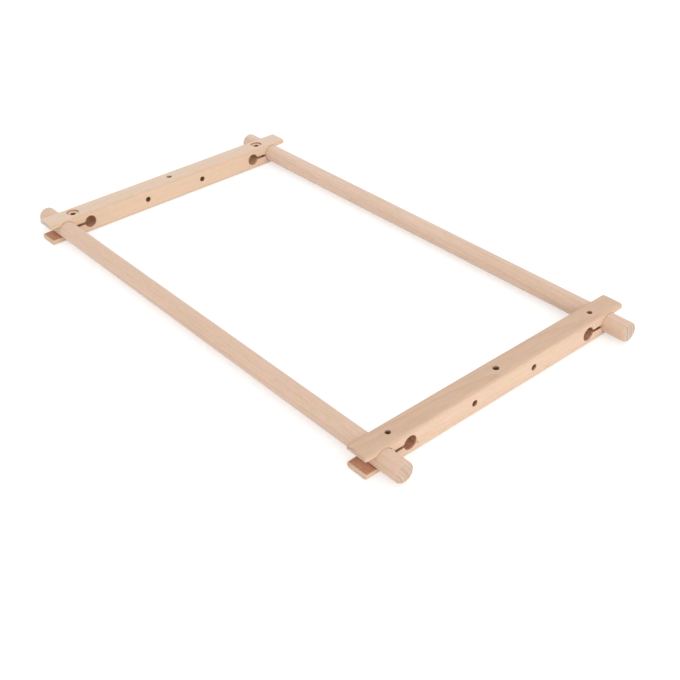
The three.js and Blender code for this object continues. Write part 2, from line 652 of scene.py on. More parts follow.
@dataclass(frozen=True)
class BeechFinish:
    """Bare sanded beech: growth rings about the pith, ray flecks, pores, streaks and soft changes of tone.

    Attributes:
        name: Name of the material.
        sap: Tone of the sapwood.
        heart: Tone of the heartwood.
        sap_change: How fast the sapwood takes over, per millimetre.
        rosy: What the wood between the broad streaks multiplies the colour by.
        golden: What the broad streaks multiply it by.
        waver: Millimetres by which the growth rings wander.
        ring_spacing: Millimetres from one growth ring to the next.
        ring_depth: How much the late wood of a ring darkens.
        end_rings: How much more a ring darkens on end grain.
        faintest_ring: Strength of the faintest ring, where the strongest has 1.
        fleck_depth: How much a ray fleck darkens.
        fibre_depth: How much the streaks of the fibres darken and lighten.
        pore_depth: How much a pore darkens.
        edge_shade_depth: How much painted shade darkens a rounded long edge beside the faces next to it.
        end_tint: What end grain multiplies the colour by.
        roughness: Roughness of the planed faces.
        tooth: Height of the surface texture in millimetres.
        relief_strength: Share of that height that the shading shows.
        gloss: Strength of the plain reflection.
        fuzz: Sheen of the loose fibres that sanding leaves.
    """

    name: str
    sap: Colour
    heart: Colour
    sap_change: float = 0.1
    rosy: Colour = (1.02, 0.975, 0.99)
    golden: Colour = (0.955, 0.97, 0.895)
    waver: float = 3.5
    ring_spacing: float = 2.3
    ring_depth: float = 0.09
    end_rings: float = 0.24
    faintest_ring: float = 0.35
    fleck_depth: float = 0.12
    fibre_depth: float = 0.045
    pore_depth: float = 0.08
    edge_shade_depth: float = 0.08
    end_tint: Colour = (0.90, 0.935, 0.955)
    roughness: float = 0.62
    tooth: float = 0.05
    relief_strength: float = 0.5
    gloss: float = 0.4
    fuzz: float = 0.12

    def material(self, log_cut: LogCut, centre: Vector) -> bpy.types.Material:
        """Make the material for one piece.

        Args:
            log_cut: Where in its log the piece was sawn.
            centre: Middle of the piece.

        Returns:
            The material.
        """
        material = bpy.data.materials.new(self.name)
        graph = NodeGraph(material)
        wood = self.wood(graph, log_cut, centre)
        height, rough = self.relief(graph, wood)
        bump = {"Strength": self.relief_strength, "Distance": self.tooth * MM, "Height": height}
        look = {
            "Base Color": self.colour(graph, wood),
            "Roughness": rough,
            "Normal": graph.node("Bump", bump).outputs["Normal"],
            "Specular IOR Level": self.gloss,
            "Sheen Weight": self.fuzz,
        }
        graph.finish("OutputMaterial", graph.node("BsdfPrincipled", look).outputs[0])
        return material

    def wood(self, graph: NodeGraph, log_cut: LogCut, centre: Vector) -> Wood:
        """Make a piece's patterns, with its rings and flecks read at places that a slow noise moves.

        Args:
            graph: The material's nodes.
            log_cut: Where in its log the piece was sawn.
            centre: Middle of the piece.

        Returns:
            The patterns.
        """
        streak_span = (0.35, 0.65)
        pore_span = (0.62, 0.76)
        sap_span = (0.15, 0.85)
        end_span = (0.35, 0.95)
        noise_middle = (0.5, 0.5, 0.5)
        across_pith = Vector((0, 1, 1))
        place = log_cut.mapping(graph, centre)
        seed = log_cut.seed
        shift = graph.vector("SUBTRACT", graph.noise(place, WAVER, seed, "Color"), noise_middle)
        bent = graph.vector("MULTIPLY_ADD", shift, self.waver * across_pith, place)
        along, outward, sideways = graph.node("SeparateXYZ", {0: bent}).outputs
        radius = graph.vector("LENGTH", graph.vector("MULTIPLY", bent, across_pith))
        tangent = graph.math("MULTIPLY", graph.math("ARCTAN2", sideways, outward), log_cut.depth)
        late, year = self.rings(graph, radius, seed)
        tone = graph.noise(place, TONE, seed)
        sapwood = graph.math("MULTIPLY_ADD", log_cut.sapwood(graph, centre), self.sap_change, tone)
        return Wood(
            place=place,
            seed=seed,
            late=late,
            year=year,
            fleck=self.flecks(graph, along, radius, tangent),
            fibre=graph.noise(place, FIBRE, seed),
            streak=graph.ramp(graph.noise(place, STREAKS, seed), streak_span),
            pore=graph.ramp(graph.noise(place, PORES, seed), pore_span),
            sapwood=graph.ramp(sapwood, sap_span),
            end=graph.ramp(graph.attribute("end_grain"), end_span),
            eased=graph.attribute("eased"),
        )

    def rings(self, graph: NodeGraph, radius: Socket, seed: float) -> tuple[Socket, Socket]:
        """Growth rings: the radius over the ring spacing, whose fraction rises to a dark line and drops.

        Args:
            graph: The material's nodes.
            radius: Millimetres from the pith.
            seed: Fixes each ring's own strength.

        Returns:
            How late in the year's growth the wood is, from 0 to 1, and the year's own brightness near 1.
        """
        wander_rate = 0.45
        wander = 2.4
        rise_span = (0.30, 0.90)
        drop_span = (0.92, 1.00)
        year_brightness = (1.012, 0.988)
        year_span = (0.0, 1.0)
        phase = graph.math("DIVIDE", radius, self.ring_spacing)
        uneven = graph.line_noise(graph.math("MULTIPLY_ADD", phase, wander_rate, seed))
        phase = graph.math("MULTIPLY_ADD", uneven, wander, phase)
        season = graph.math("FRACT", phase)
        drop = graph.ramp(season, drop_span, (1.0, 0.0))
        line = graph.math("MULTIPLY", graph.ramp(season, rise_span), drop)
        year_place = graph.math("ADD", graph.math("FLOOR", phase), seed)
        year = graph.node("TexWhiteNoise", {"W": year_place}, noise_dimensions="1D").outputs["Value"]
        strength = graph.ramp(year, year_span, (self.faintest_ring, 1.0))
        return graph.math("MULTIPLY", line, strength), graph.ramp(year, year_span, year_brightness)

    def flecks(self, graph: NodeGraph, along: Socket, radius: Socket, tangent: Socket) -> Socket:
        """Ray flecks: small cells, longest along the radius and narrowest along the tangent.

        Args:
            graph: The material's nodes.
            along: Millimetres along the pith.
            radius: Millimetres from the pith.
            tangent: Millimetres round the pith.

        Returns:
            1 inside a fleck and 0 outside.
        """
        cell_length = 1.9
        cell_reach = 11.0
        cell_width = 0.62
        fleck_span = (0.16, 0.34)
        sides = ((along, cell_length), (radius, cell_reach), (tangent, cell_width))
        parts = [graph.math("DIVIDE", value, side) for value, side in sides]
        place = graph.node("CombineXYZ", dict(enumerate(parts))).outputs[0]
        cells = graph.node("TexVoronoi", {"Vector": place, "Scale": 1.0})
        return graph.ramp(cells.outputs["Distance"], fleck_span, (1.0, 0.0))

    def warm_shade(self, graph: NodeGraph, shade: Socket) -> Socket:
        """Darken green and blue more than red, as beech does, by raising the shade to three powers.

        Args:
            graph: The material's nodes.
            shade: Brightness near 1.

        Returns:
            The shade as a colour.
        """
        powers = (0.8, 1.1, 1.4)
        parts = [graph.math("POWER", shade, power) for power in powers]
        return graph.node("CombineColor", dict(enumerate(parts))).outputs[0]

    def colour(self, graph: NodeGraph, wood: Wood) -> Socket:
        """Heartwood to sapwood, times a shade for each pattern, painted shade on rounded long edges and the
        end grain's tint.

        Args:
            graph: The material's nodes.
            wood: The piece's patterns.

        Returns:
            The colour.
        """
        fibre_span = (0.25, 0.75)
        colour = graph.blend(wood.sapwood, self.heart, self.sap)
        colour = graph.tint(colour, graph.blend(wood.streak, self.rosy, self.golden))
        ring_depth = graph.math("MULTIPLY_ADD", wood.end, -self.end_rings, -self.ring_depth)
        shade = graph.math("MULTIPLY_ADD", wood.late, ring_depth, 1.0)
        factors = (
            wood.year,
            graph.less(wood.fleck, self.fleck_depth),
            graph.ramp(wood.fibre, fibre_span, (1 - self.fibre_depth, 1 + self.fibre_depth)),
            graph.less(wood.pore, self.pore_depth),
            # painted shade on the rounded long edges
            graph.less(wood.eased, self.edge_shade_depth),
        )
        for factor in factors:
            shade = graph.math("MULTIPLY", shade, factor)
        colour = graph.tint(colour, self.warm_shade(graph, shade))
        return graph.blend(wood.end, colour, graph.tint(colour, self.end_tint))

    def relief(self, graph: NodeGraph, wood: Wood) -> tuple[Socket, Socket]:
        """Height and roughness: fibres and late wood stand up, pores and flecks lie low, and flecks shine.

        Args:
            graph: The material's nodes.
            wood: The piece's patterns.

        Returns:
            The height as a share of the surface texture, and the roughness.
        """
        fibre_height = 0.5
        late_height = 0.25
        fleck_height = -0.3
        pore_height = -0.8
        fibre_span = (0.2, 0.8)
        smoother = 0.04
        rougher = 0.05
        fleck_roughness = -0.10
        end_roughness = 0.12
        height = graph.math("MULTIPLY", wood.fibre, fibre_height)
        height = graph.math("MULTIPLY_ADD", wood.late, late_height, height)
        height = graph.math("MULTIPLY_ADD", wood.fleck, fleck_height, height)
        height = graph.math("MULTIPLY_ADD", wood.pore, pore_height, height)
        rough = graph.ramp(wood.fibre, fibre_span, (self.roughness - smoother, self.roughness + rougher))
        rough = graph.math("MULTIPLY_ADD", wood.fleck, fleck_roughness, rough)
        return height, graph.math("MULTIPLY_ADD", wood.end, end_roughness, rough)


@dataclass(frozen=True)
class DrilledBeechFinish(BeechFinish):
    """Beech with browned, scratched bores and saw cuts, darker with scorch and painted shade where deep or
    by a seat.

    It reads the mesh's attributes bored, scarred, char and feed.

    Attributes:
        scorch: What the heat of the tool multiplies the colour by in a bore or saw cut.
        char_and_shade_tone: What it multiplies the colour by for scorch and for painted shade in deep cuts
            and by a seat.
        scratch_tone: How much a tool's scratch darkens.
        torn: Height of torn grain, as a share of the surface texture.
        scratch: Height of the tool's scratches, as a share of the surface texture.
        bored_roughness: How much rougher than the planed faces the cuts are.
    """

    scorch: Colour = (0.70, 0.42, 0.285)
    char_and_shade_tone: Colour = (0.22, 0.08, 0.05)
    scratch_tone: float = 0.5
    torn: float = 1.6
    scratch: float = 1.4
    bored_roughness: float = 0.16

    def scratches(self, graph: NodeGraph, seed: float) -> Socket:
        """Fine lines that the tool leaves, about a millimetre apart along its feed.

        Args:
            graph: The material's nodes.
            seed: The piece's own seed.

        Returns:
            A noise that depends on the feed alone, from 0 to 1.
        """
        lines_per_mm = 0.85
        own_seed = 33
        place = graph.math("MULTIPLY_ADD", graph.attribute("feed"), lines_per_mm, seed + own_seed)
        return graph.line_noise(place)

    def colour(self, graph: NodeGraph, wood: Wood) -> Socket:
        """Brown the wood of the cuts unevenly, darken it with scorch and painted shade where it is deep, and
        along the scratches.

        Args:
            graph: The material's nodes.
            wood: The piece's patterns.

        Returns:
            The colour.
        """
        patch_span = (0.30, 0.70)
        least_browned = 0.76
        line_span = (0.48, 0.62)
        colour = super().colour(graph, wood)
        browned = graph.tint(colour, self.scorch)
        # the darkest tone: scorch, and painted shade deep in the cuts and next to a seat
        burnt_and_shaded = graph.tint(colour, self.char_and_shade_tone)
        patches = graph.ramp(graph.noise(wood.place, BROWNING, wood.seed), patch_span, (least_browned, 1.0))
        browning = graph.math("MULTIPLY", graph.attribute("bored"), patches)
        colour = graph.blend(browning, colour, browned)
        colour = graph.blend(graph.math("MULTIPLY", browning, graph.attribute("char_and_shade")), colour, burnt_and_shaded)
        line = graph.ramp(self.scratches(graph, wood.seed), line_span, (0.0, -self.scratch_tone))
        shade = graph.math("MULTIPLY_ADD", line, graph.attribute("scarred"), 1.0)
        return graph.tint(colour, self.warm_shade(graph, shade))

    def relief(self, graph: NodeGraph, wood: Wood) -> tuple[Socket, Socket]:
        """Add torn, scratched grain in the cuts.

        Args:
            graph: The material's nodes.
            wood: The piece's patterns.

        Returns:
            The height as a share of the surface texture, and the roughness.
        """
        height, rough = super().relief(graph, wood)
        bored = graph.attribute("bored")
        torn = graph.math("MULTIPLY", graph.noise(wood.place, TORN_GRAIN, wood.seed), bored)
        lines = graph.math("MULTIPLY", self.scratches(graph, wood.seed), graph.attribute("scarred"))
        height = graph.math("MULTIPLY_ADD", torn, self.torn, height)
        height = graph.math("MULTIPLY_ADD", lines, -self.scratch, height)
        return height, graph.math("MULTIPLY_ADD", bored, self.bored_roughness, rough)


# Pieces


@dataclass
class Roller:
    """A round dowel with rounded rims, along X.

    Attributes:
        node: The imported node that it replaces, which is also its body.
        finish: Its wood.
        log_cut: Where in its log it was sawn.
        rim: Radius of its rounded rims.
        unevenness: How far its round wanders under the full radius.
        facets: Points round it.
        stations: Rings along its straight stretch.
        crease: Angle above which an edge stays sharp.
    """

    node: str
    finish: BeechFinish
    log_cut: LogCut
    rim: float = 2.0 * MM
    unevenness: float = 0.05 * MM
    facets: int = 144
    stations: int = 161
    crease: float = math.radians(40)

    def rings(self, centre: Vector, length: float, radius: float) -> np.ndarray:
        """The dowel as rings: a profile of end face, quarter round, straight, quarter round, turned about X.

        The radius dips by two slow noises: one winds round the dowel, and one runs along it.

        Args:
            centre: Middle of the dowel.
            length: Its whole length.
            radius: Its full radius.

        Returns:
            Rings by points by three coordinates.
        """
        rim_steps = 8
        end_rings = 6
        innermost = 0.02
        winding = 9
        winding_waves = 3
        running = 40
        running_waves = 4
        half = length / 2
        flat = radius - self.rim
        turn = np.linspace(0, np.pi / 2, rim_steps + 1)
        end_reach = np.linspace(innermost * flat, flat, end_rings, endpoint=False)
        reach = np.concatenate([end_reach, flat + self.rim * np.sin(turn)])
        along = np.concatenate([np.full(end_rings, half), half - self.rim + self.rim * np.cos(turn)])
        straight = np.linspace(self.rim - half, half - self.rim, self.stations)[1:-1]
        along = np.concatenate([-along, straight, along[::-1]])[:, None]
        reach = np.concatenate([reach, np.full(straight.size, radius), reach[::-1]])[:, None]
        angle = np.linspace(0, 2 * np.pi, self.facets, endpoint=False)
        seed = int(self.log_cut.seed)
        wander = soft_noise(angle + winding * along, winding_waves, seed)
        wander = wander + soft_noise(running * along, running_waves, seed + 1)
        dip = self.unevenness * (1 / 2 + wander / 4)
        grown = reach * (1 - dip / radius)
        parts = (centre.x + along, centre.y + grown * np.cos(angle), centre.z + grown * np.sin(angle))
        return np.stack(np.broadcast_arrays(*parts), axis=-1)

    def build(self) -> bpy.types.Object:
        """Make the dowel in its node's place and hang it on its body.

        Returns:
            The finished object.
        """
        low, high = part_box(self.node)
        centre = (low + high) / 2
        rings = self.rings(centre, high.x - low.x, (high.z - low.z) / 2)
        item = tube_object(self.node + "_wood", rings, Surface.PLANED.value)
        smooth(item, self.crease)
        mark_end_grain(item.data, ACROSS_BARS)
        item.data.materials.append(self.finish.material(self.log_cut, centre))
        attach(item, self.node)
        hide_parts(self.node)
        return item


@dataclass(frozen=True)
class Nick:
    """A small dent in a face of a side bar, shaped like half a lens.

    Attributes:
        place: Its middle on the face, in the bar's own frame.
        outward: Unit vector out of the face.
        heading: Unit vector along the dent.
        length: Its length.
        width: Its width.
        depth: Its depth.
    """

    place: Vector
    outward: Vector
    heading: Vector
    length: float = 3.2 * MM
    width: float = 1.1 * MM
    depth: float = 0.6 * MM

    def cutter(self) -> bpy.types.Object:
        """The dent as an ellipsoid: half circles along the heading, scaled by the three sizes.

        Returns:
            The cutter.
        """
        rows = 11
        facets = 20
        blunted = 0.06
        polar = np.linspace(blunted, 1 - blunted, rows)[:, None] * np.pi
        around = np.linspace(0, 2 * np.pi, facets, endpoint=False)
        along = -self.length / 2 * np.cos(polar) + 0 * around
        wide = self.width / 2 * np.sin(polar) * np.cos(around)
        deep = self.depth * np.sin(polar) * np.sin(around)
        axes = np.array([self.heading, self.outward.cross(self.heading), self.outward])
        turned = np.stack([along, -wide, deep], axis=-1) @ axes
        return tube_object("nick", turned[:, ::-1] + np.array(self.place), Surface.BORED.value)


@dataclass(frozen=True)
class BurnAndShade:
    """The marks that the tools' heat left in one end of a side bar, and the painted shade in its saw cut.

    Attributes:
        brown: How brown the cuts are, from 0 to 1.
        char_and_shade_reach: How far from the seat the saw cut is darkened, mostly by painted shade with
            some scorch.
    """

    brown: float = 1.0
    char_and_shade_reach: float = 6 * MM


@dataclass
class SideBar:
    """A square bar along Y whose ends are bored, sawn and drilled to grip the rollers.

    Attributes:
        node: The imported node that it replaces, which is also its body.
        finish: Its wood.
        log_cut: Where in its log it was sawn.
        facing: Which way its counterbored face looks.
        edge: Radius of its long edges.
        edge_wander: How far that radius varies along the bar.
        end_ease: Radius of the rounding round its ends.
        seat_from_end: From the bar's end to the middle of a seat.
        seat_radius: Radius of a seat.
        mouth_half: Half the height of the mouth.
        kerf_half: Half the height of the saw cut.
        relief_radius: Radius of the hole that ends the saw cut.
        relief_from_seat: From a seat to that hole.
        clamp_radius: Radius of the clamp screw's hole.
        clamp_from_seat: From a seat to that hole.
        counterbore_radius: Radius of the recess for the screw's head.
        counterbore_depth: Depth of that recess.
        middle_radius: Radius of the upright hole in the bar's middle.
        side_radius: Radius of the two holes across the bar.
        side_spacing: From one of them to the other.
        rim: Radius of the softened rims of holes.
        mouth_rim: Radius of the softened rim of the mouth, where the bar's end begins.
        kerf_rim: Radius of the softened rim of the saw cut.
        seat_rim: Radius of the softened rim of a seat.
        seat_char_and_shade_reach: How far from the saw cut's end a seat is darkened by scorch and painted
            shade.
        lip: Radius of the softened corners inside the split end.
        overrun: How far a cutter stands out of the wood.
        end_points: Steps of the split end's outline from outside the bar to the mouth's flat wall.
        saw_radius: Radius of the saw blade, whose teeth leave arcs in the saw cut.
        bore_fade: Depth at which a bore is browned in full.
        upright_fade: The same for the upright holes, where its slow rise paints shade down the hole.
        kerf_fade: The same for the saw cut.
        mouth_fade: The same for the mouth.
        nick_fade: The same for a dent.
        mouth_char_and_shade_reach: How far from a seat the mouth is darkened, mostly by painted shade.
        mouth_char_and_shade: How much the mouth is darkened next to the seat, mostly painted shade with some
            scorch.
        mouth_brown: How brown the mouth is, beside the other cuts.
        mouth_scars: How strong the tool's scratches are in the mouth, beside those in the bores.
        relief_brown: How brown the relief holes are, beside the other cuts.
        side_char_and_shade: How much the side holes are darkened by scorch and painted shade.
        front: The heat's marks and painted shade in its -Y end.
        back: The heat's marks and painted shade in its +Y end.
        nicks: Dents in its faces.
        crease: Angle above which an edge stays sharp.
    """

    node: str
    finish: DrilledBeechFinish
    log_cut: LogCut
    facing: Facing
    edge: float = 3 * MM
    edge_wander: float = 0.3 * MM
    end_ease: float = 1.2 * MM
    seat_from_end: float = 20 * MM
    seat_radius: float = 10.3 * MM
    mouth_half: float = 6.8 * MM
    kerf_half: float = 1.6 * MM
    relief_radius: float = 7 * MM
    relief_from_seat: float = 29.5 * MM
    clamp_radius: float = 2.75 * MM
    clamp_from_seat: float = 15 * MM
    counterbore_radius: float = 7 * MM
    counterbore_depth: float = 2.2 * MM
    middle_radius: float = 3.2 * MM
    side_radius: float = 3.2 * MM
    side_spacing: float = 77 * MM
    rim: float = 0.35 * MM
    mouth_rim: float = 1.0 * MM
    kerf_rim: float = 0.3 * MM
    seat_rim: float = 0.15 * MM
    seat_char_and_shade_reach: float = 8 * MM
    lip: float = 0.6 * MM
    overrun: float = 5 * MM
    end_points: int = 8
    saw_radius: float = 90 * MM
    bore_fade: float = 1.2 * MM
    upright_fade: float = 4.6 * MM
    kerf_fade: float = 0.5 * MM
    mouth_fade: float = 1.1 * MM
    nick_fade: float = 0.2 * MM
    mouth_char_and_shade_reach: float = 9 * MM
    mouth_char_and_shade: float = 0.12
    mouth_brown: float = 0.86
    mouth_scars: float = 0.4
    relief_brown: float = 0.77
    side_char_and_shade: float = 0.25
    front: BurnAndShade = BurnAndShade()
    back: BurnAndShade = BurnAndShade()
    nicks: tuple[Nick, ...] = ()
    crease: float = math.radians(28)

    def blank(self, width: float, length: float, height: float) -> bpy.types.Object:
        """The bar before it is drilled: a rounded rectangle carried along Y, a quarter round at each end.

        The radius of each long edge wanders slowly along the bar, as sanding by hand leaves it.

        Args:
            width: Size along X.
            length: Size along Y.
            height: Size along Z.

        Returns:
            The blank, centred on the origin.
        """
        ease_steps = 6
        corner_steps = 8
        straight_stations = 131
        wander_rate = 14
        waves = 5
        seed_step = 11
        turn = np.linspace(np.pi / 2, 0, ease_steps, endpoint=False)
        half = length / 2
        ends = half - self.end_ease + self.end_ease * np.sin(turn)
        inset = self.end_ease * (1 - np.cos(turn))
        straight = np.linspace(self.end_ease - half, half - self.end_ease, straight_stations)
        along = np.concatenate([-ends, straight, ends[::-1]])
        inset = np.concatenate([inset, 0 * straight, inset[::-1]])

        corners = np.arange(4)
        angle = (corners[:, None] + np.linspace(0, 1, corner_steps + 1)) * np.pi / 2
        middle = (corners + 0.5) * np.pi / 2
        side_x = np.sign(np.sin(middle))
        side_z = np.sign(np.cos(middle))
        seed = int(self.log_cut.seed)
        wanders = [soft_noise(wander_rate * along, waves, seed + seed_step * corner) for corner in corners]
        edge = self.edge + self.edge_wander * np.stack(wanders, axis=-1)
        reach = (edge - inset[:, None])[..., None]
        x = (side_x * (width / 2 - edge))[..., None] + reach * np.sin(angle)
        z = (side_z * (height / 2 - edge))[..., None] + reach * np.cos(angle)
        y = along[:, None, None] + 0 * x
        rings = np.stack([x, y, z], axis=-1).reshape(along.size, -1, 3)
        return tube_object(self.node + "_wood", rings, Surface.PLANED.value)

    def seat_y(self, length: float) -> float:
        """Where the middle of a seat stands, from the middle of the bar."""
        return length / 2 - self.seat_from_end

    def lip_reach(self, radius: float, height: float) -> float:
        """How far along the bar the centre of a lip stands from the middle of the bore that it meets."""
        return math.sqrt((radius + self.lip) ** 2 - height ** 2)

    def split_outline(self, length: float) -> CutOutline:
        """Side view of what is cut from the +Y end: mouth, seat, saw cut and relief hole in one outline.

        Every stretch is a straight line or an arc. The wood's corners at the bar's end, at the lips and at
        both ends of the saw cut are arcs about fixed centres in the wood. So a spread shrinks them, and
        swells the seat, the relief hole, the mouth and the saw cut alike.

        Args:
            length: Length of the bar.

        Returns:
            The upper half of the outline, from outside the bar to the far side of the relief hole.
        """
        down = -math.pi / 2
        last = math.radians(-15)
        clear = 0.4 * MM
        mouth_stations = 10
        kerf_stations = 14
        lip_points = 6
        bore_points = 40
        seat_y = self.seat_y(length)
        relief_y = seat_y - self.relief_from_seat
        mouth_lip_z = self.mouth_half + self.lip
        kerf_lip_z = self.kerf_half + self.lip
        mouth_lip_y = seat_y + self.lip_reach(self.seat_radius, mouth_lip_z)
        seat_lip_y = seat_y - self.lip_reach(self.seat_radius, kerf_lip_z)
        relief_lip_y = relief_y + self.lip_reach(self.relief_radius, kerf_lip_z)
        mouth_angle = math.atan2(mouth_lip_z, mouth_lip_y - seat_y)
        seat_angle = math.atan2(kerf_lip_z, seat_lip_y - seat_y)
        relief_angle = math.atan2(kerf_lip_z, relief_lip_y - relief_y)
        end_y = length / 2 - self.end_ease
        end_z = self.mouth_half + self.end_ease
        tangent_y = end_y + self.end_ease * math.cos(last) - clear * math.sin(last)
        tangent_z = end_z + self.end_ease * math.sin(last) + clear * math.cos(last)
        mouth_wall = np.linspace(end_y, mouth_lip_y, mouth_stations)[1:-1]
        fade = (mouth_wall - mouth_lip_y) / (end_y - mouth_lip_y)
        kerf_wall = np.linspace(seat_lip_y, relief_lip_y, kerf_stations)[1:-1]

        outline = CutOutline()
        outline.add_wall(np.array([length / 2 + self.overrun, tangent_y]), tangent_z, self.mouth_rim)
        turn = (last, down)
        outline.add_arc((end_y, end_z), self.end_ease, turn, self.end_points - 1, 0, self.mouth_rim, lift=1)
        outline.add_wall(mouth_wall, self.mouth_half, self.rim + fade * (self.mouth_rim - self.rim))
        turn = (down, mouth_angle - math.pi)
        outline.add_arc((mouth_lip_y, mouth_lip_z), self.lip, turn, lip_points, -1, self.rim)
        turn = (mouth_angle, seat_angle)
        outline.add_arc((seat_y, 0), self.seat_radius, turn, bore_points, 1, self.seat_rim, joined=True)
        turn = (seat_angle - math.pi, down)
        outline.add_arc((seat_lip_y, kerf_lip_z), self.lip, turn, lip_points, -1, self.kerf_rim, joined=True)
        outline.add_wall(kerf_wall, self.kerf_half, self.kerf_rim)
        turn = (down, relief_angle - math.pi)
        outline.add_arc((relief_lip_y, kerf_lip_z), self.lip, turn, lip_points, -1, self.kerf_rim)
        turn = (relief_angle, math.pi)
        outline.add_arc((relief_y, 0), self.relief_radius, turn, bore_points, 1, self.rim, joined=True)
        return outline

    def split_cutter(self, width: float, length: float, end: int) -> bpy.types.Object:
        """The split end's outline carried across the bar, spreading at both side faces.

        Args:
            width: Width of the bar.
            length: Length of the bar.
            end: 1 for the +Y end and -1 for the other, which is the first turned half round about Z.

        Returns:
            The cutter.
        """
        outline = self.split_outline(length)
        across, spread = rim_stations(width / 2, outline.rims(), self.overrun)
        x = outline.mirrored(across)
        side_view = outline.points(spread)
        rings = np.stack([end * x, end * side_view[..., 0], side_view[..., 1]], axis=-1)
        points = x.shape[1]
        band = np.arange(points)
        mirror_band = points - 2 - band
        at_bar_end = np.minimum(band, mirror_band) < self.end_points
        surfaces = np.where(at_bar_end, Surface.PLANED.value, band_surfaces(outline.mirrored(spread)))
        return tube_object("split_end", rings, surfaces)

    def clamp_cutter(self, height: float, y: float, seed: int) -> bpy.types.Object:
        """The clamp screw's hole with its counterbore on +Z, as one stepped profile turned about Z.

        Args:
            height: Height of the bar.
            y: Where the hole stands along the bar.
            seed: Fixes the unevenness of its rims.

        Returns:
            The cutter.
        """
        chamfer = 0.3 * MM
        floor_rings = 4
        wall_depths = np.array([5.0, 2.4, 1.2]) * MM
        along, spread = rim_stations(height / 2, np.array([self.rim]), self.overrun)
        floor = height / 2 - self.counterbore_depth
        wall = floor - wall_depths
        below = along[:, 0] < 0
        above = along[:, 0] > floor + chamfer
        step = np.array([*wall, floor - chamfer, *[floor] * floor_rings, floor + chamfer])[:, None]
        positions = np.concatenate([along[below], step, along[above]])
        spreads = np.concatenate([spread[below], 0 * step, spread[above]])
        floor_band = below.sum() + wall.size + 1
        surfaces = band_surfaces(spreads)
        surfaces[floor_band : floor_band + floor_rings] = Surface.PLANED.value
        chamfers = chamfer * np.array([1, 2])
        radii = np.concatenate(
            [
                np.full(floor_band, self.clamp_radius),
                self.clamp_radius + chamfers,
                self.counterbore_radius - chamfers[::-1],
                np.full(1 + above.sum(), self.counterbore_radius),
            ]
        )[:, None]
        centre = y * ALONG_BARS
        return revolved_cutter("clamp_hole", centre, UPRIGHT, positions, radii, spreads, surfaces, seed)

    def through_hole(
        self,
        name: str,
        radius: float,
        y: float,
        axis: Vector,
        thickness: float,
        seed: int,
    ) -> bpy.types.Object:
        """A round hole right through the bar.

        Args:
            name: Name of the cutter.
            radius: Radius of the drill.
            y: Where the hole stands along the bar.
            axis: Unit vector along the hole.
            thickness: The bar's size along that axis.
            seed: Fixes the unevenness of its rims.

        Returns:
            The cutter.
        """
        along, spread = rim_stations(thickness / 2, np.array([self.rim]), self.overrun)
        radii = np.full_like(along, radius)
        surfaces = band_surfaces(spread)
        return revolved_cutter(name, y * ALONG_BARS, axis, along, radii, spread, surfaces, seed)

    def mark_tools(self, mesh: bpy.types.Mesh, width: float, length: float, height: float) -> None:
        """Store what the tools did to each vertex: bored, scarred, char and feed.

        The browning of a cut rises softly with the depth under the bar's outside, and in the upright holes
        so slowly that it paints shade down the hole. Upright holes are darkened all through by scorch and
        painted shade, and side holes in part. The mouth and the saw cut are darkened next to a seat, less
        with the distance from it, and a seat round the saw cut's end, mostly as painted shade with some
        scorch; relief holes aren't. A drill leaves rings along its axis. The saw leaves arcs of its blade's
        radius: the distance along the bar plus the square of the distance across it over the blade's
        diameter. The mouth's scratches are weaker.

        Args:
            mesh: The bar's mesh, in its own frame with its counterbores on +Z.
            width: Width of the bar.
            length: Length of the bar.
            height: Height of the bar.
        """
        near = 0.8 * MM
        x, y, z = read(mesh.vertices, "co", np.float32, 3).reshape(-1, 3).T
        past_seat = np.abs(y) - self.seat_y(length)
        from_seat = np.hypot(past_seat, z)
        from_clamp = np.hypot(past_seat + self.clamp_from_seat, x)
        under_recess = height / 2 - self.counterbore_depth - z
        level_with_kerf = np.abs(z) < self.kerf_half + near
        before_relief = (past_seat < 0) & (past_seat > -self.relief_from_seat)
        in_seat = from_seat < self.seat_radius + near
        in_relief = np.hypot(past_seat + self.relief_from_seat, z) < self.relief_radius + near
        in_side = np.hypot(np.abs(y) - self.side_spacing / 2, z) < self.side_radius + near
        in_clamp = (from_clamp < self.clamp_radius + near) & (np.abs(z) > self.kerf_half + near)
        in_upright = in_clamp | (np.hypot(x, y) < self.middle_radius + near)
        in_recess = (from_clamp < self.counterbore_radius + near) & (under_recess < near) & ~in_clamp
        in_mouth = (past_seat > 0) & ~in_seat
        in_kerf = level_with_kerf & before_relief
        at_back = y > 0

        depth = np.min([width / 2 - np.abs(x), length / 2 - np.abs(y), height / 2 - np.abs(z)], axis=0)
        regions = [in_upright, in_side | in_relief | in_recess | in_seat, in_kerf, in_mouth]
        fades = [self.upright_fade, self.bore_fade, self.kerf_fade, self.mouth_fade]
        fade = np.select(regions, fades, self.nick_fade)
        in_end = in_relief | in_kerf | in_mouth | in_seat
        brown = np.where(at_back, self.back.brown, self.front.brown)
        brown *= np.select([in_relief, in_mouth], [self.relief_brown, self.mouth_brown], 1.0)
        # in the upright holes the browning rises so slowly that it paints shade down the hole
        browned = cut_share(mesh) * soft_step(depth / fade) * np.where(in_end, brown, 1.0)
        store(mesh, "bored", "POINT", browned)
        store(mesh, "scarred", "POINT", browned * np.where(in_mouth, self.mouth_scars, 1.0))

        saw_feed = past_seat + x ** 2 / (2 * self.saw_radius)
        feed = np.select([in_upright | in_recess, in_seat | in_relief | in_side], [z, x], saw_feed)
        store(mesh, "feed", "POINT", feed / MM)

